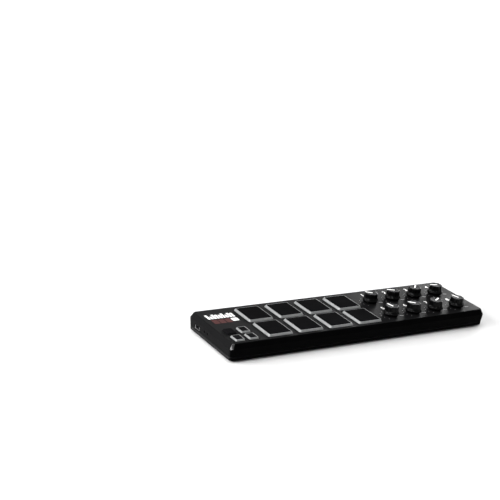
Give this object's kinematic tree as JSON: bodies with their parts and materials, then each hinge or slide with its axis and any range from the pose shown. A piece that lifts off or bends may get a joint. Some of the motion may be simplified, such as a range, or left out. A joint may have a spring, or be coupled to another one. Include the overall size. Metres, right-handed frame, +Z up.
{
  "type": "dj controller",
  "caption": "Slim desktop pad controller: sprung drum pads with pale rims, small push buttons and fluted turning knobs on a flat black case with a side USB socket.",
  "frame": {"origin": "on the table under the middle of the case, level with the feet", "axes": "+X along the case towards the knobs, +Y from the front edge to the back edge, +Z up out of the panel"},
  "size_m": [0.311, 0.0844, 0.0298],
  "materials": {
    "case_plastic": "fine textured charcoal top and sides, glossy black front face",
    "under_plastic": "matte black",
    "pad_black": "soft matte black",
    "pad_clear": "translucent light grey silicone",
    "button_black": "soft matte black with a pale rim",
    "knob_black": "glossy black",
    "shaft_nylon": "natural nylon",
    "pot_grey": "dull plated steel",
    "board": "green solder mask",
    "socket_steel": "bright plated steel",
    "socket_black": "black moulding",
    "screw_steel": "black oxide steel",
    "foot_rubber": "matte black rubber"
  },
  "bodies": {
    "case": {"top_cover": "case_plastic", "bottom_cover": "under_plastic", "pad_board": "board", "knob_board": "board", "usb_shell": "socket_steel", "usb_tongue": "socket_black", "foot_1": "foot_rubber", "foot_2": "foot_rubber", "foot_3": "foot_rubber", "foot_4": "foot_rubber", "case_screw_1": "screw_steel", "case_screw_2": "screw_steel", "case_screw_3": "screw_steel", "case_screw_4": "screw_steel", "case_screw_5": "screw_steel", "case_screw_6": "screw_steel", "pot_body_1": "pot_grey", "pot_body_2": "pot_grey", "pot_body_3": "pot_grey", "pot_body_4": "pot_grey", "pot_body_5": "pot_grey", "pot_body_6": "pot_grey", "pot_body_7": "pot_grey", "pot_body_8": "pot_grey"},
    "pad_1": {"pad_rim_1": "pad_clear", "pad_top_1": "pad_black"},
    "pad_2": {"pad_rim_2": "pad_clear", "pad_top_2": "pad_black"},
    "pad_3": {"pad_rim_3": "pad_clear", "pad_top_3": "pad_black"},
    "pad_4": {"pad_rim_4": "pad_clear", "pad_top_4": "pad_black"},
    "pad_5": {"pad_rim_5": "pad_clear", "pad_top_5": "pad_black"},
    "pad_6": {"pad_rim_6": "pad_clear", "pad_top_6": "pad_black"},
    "pad_7": {"pad_rim_7": "pad_clear", "pad_top_7": "pad_black"},
    "pad_8": {"pad_rim_8": "pad_clear", "pad_top_8": "pad_black"},
    "button_key_1": {"button_1": "button_black"},
    "button_key_2": {"button_2": "button_black"},
    "button_key_3": {"button_3": "button_black"},
    "button_key_4": {"button_4": "button_black"},
    "knob_unit_1": {"knob_1": "knob_black", "pot_shaft_1": "shaft_nylon"},
    "knob_unit_2": {"knob_2": "knob_black", "pot_shaft_2": "shaft_nylon"},
    "knob_unit_3": {"knob_3": "knob_black", "pot_shaft_3": "shaft_nylon"},
    "knob_unit_4": {"knob_4": "knob_black", "pot_shaft_4": "shaft_nylon"},
    "knob_unit_5": {"knob_5": "knob_black", "pot_shaft_5": "shaft_nylon"},
    "knob_unit_6": {"knob_6": "knob_black", "pot_shaft_6": "shaft_nylon"},
    "knob_unit_7": {"knob_7": "knob_black", "pot_shaft_7": "shaft_nylon"},
    "knob_unit_8": {"knob_8": "knob_black", "pot_shaft_8": "shaft_nylon"}
  },
  "joints": [
    {"name": "pad_1_press", "type": "slide", "parent": "case", "child": "pad_1", "axis": [0, 0, -1], "range_m": [0, 0.001], "stiffness_N_per_m": 4000, "springref_m": -0.0002},
    {"name": "pad_2_press", "type": "slide", "parent": "case", "child": "pad_2", "axis": [0, 0, -1], "range_m": [0, 0.001], "stiffness_N_per_m": 4000, "springref_m": -0.0002},
    {"name": "pad_3_press", "type": "slide", "parent": "case", "child": "pad_3", "axis": [0, 0, -1], "range_m": [0, 0.001], "stiffness_N_per_m": 4000, "springref_m": -0.0002},
    {"name": "pad_4_press", "type": "slide", "parent": "case", "child": "pad_4", "axis": [0, 0, -1], "range_m": [0, 0.001], "stiffness_N_per_m": 4000, "springref_m": -0.0002},
    {"name": "pad_5_press", "type": "slide", "parent": "case", "child": "pad_5", "axis": [0, 0, -1], "range_m": [0, 0.001], "stiffness_N_per_m": 4000, "springref_m": -0.0002},
    {"name": "pad_6_press", "type": "slide", "parent": "case", "child": "pad_6", "axis": [0, 0, -1], "range_m": [0, 0.001], "stiffness_N_per_m": 4000, "springref_m": -0.0002},
    {"name": "pad_7_press", "type": "slide", "parent": "case", "child": "pad_7", "axis": [0, 0, -1], "range_m": [0, 0.001], "stiffness_N_per_m": 4000, "springref_m": -0.0002},
    {"name": "pad_8_press", "type": "slide", "parent": "case", "child": "pad_8", "axis": [0, 0, -1], "range_m": [0, 0.001], "stiffness_N_per_m": 4000, "springref_m": -0.0002},
    {"name": "button_1_press", "type": "slide", "parent": "case", "child": "button_key_1", "axis": [0, 0, -1], "range_m": [0, 0.0006], "stiffness_N_per_m": 1500, "springref_m": -0.0004},
    {"name": "button_2_press", "type": "slide", "parent": "case", "child": "button_key_2", "axis": [0, 0, -1], "range_m": [0, 0.0006], "stiffness_N_per_m": 1500, "springref_m": -0.0004},
    {"name": "button_3_press", "type": "slide", "parent": "case", "child": "button_key_3", "axis": [0, 0, -1], "range_m": [0, 0.0006], "stiffness_N_per_m": 1500, "springref_m": -0.0004},
    {"name": "button_4_press", "type": "slide", "parent": "case", "child": "button_key_4", "axis": [0, 0, -1], "range_m": [0, 0.0006], "stiffness_N_per_m": 1500, "springref_m": -0.0004},
    {"name": "knob_1_turn", "type": "hinge", "parent": "case", "child": "knob_unit_1", "pos_m": [0.0425, 0.01125, 0.02], "axis": [0, 0, 1], "range_deg": [-198, 102]},
    {"name": "knob_2_turn", "type": "hinge", "parent": "case", "child": "knob_unit_2", "pos_m": [0.07136, 0.01125, 0.02], "axis": [0, 0, 1], "range_deg": [-213, 87]},
    {"name": "knob_3_turn", "type": "hinge", "parent": "case", "child": "knob_unit_3", "pos_m": [0.10022, 0.01125, 0.02], "axis": [0, 0, 1], "range_deg": [-107, 193]},
    {"name": "knob_4_turn", "type": "hinge", "parent": "case", "child": "knob_unit_4", "pos_m": [0.12908, 0.01125, 0.02], "axis": [0, 0, 1], "range_deg": [-224, 76]},
    {"name": "knob_5_turn", "type": "hinge", "parent": "case", "child": "knob_unit_5", "pos_m": [0.0425, -0.02485, 0.02], "axis": [0, 0, 1], "range_deg": [-162, 138]},
    {"name": "knob_6_turn", "type": "hinge", "parent": "case", "child": "knob_unit_6", "pos_m": [0.07136, -0.02485, 0.02], "axis": [0, 0, 1], "range_deg": [-198, 102]},
    {"name": "knob_7_turn", "type": "hinge", "parent": "case", "child": "knob_unit_7", "pos_m": [0.10022, -0.02485, 0.02], "axis": [0, 0, 1], "range_deg": [-90, 210]},
    {"name": "knob_8_turn", "type": "hinge", "parent": "case", "child": "knob_unit_8", "pos_m": [0.12908, -0.02485, 0.02], "axis": [0, 0, 1], "range_deg": [-165, 135]}
  ]
}
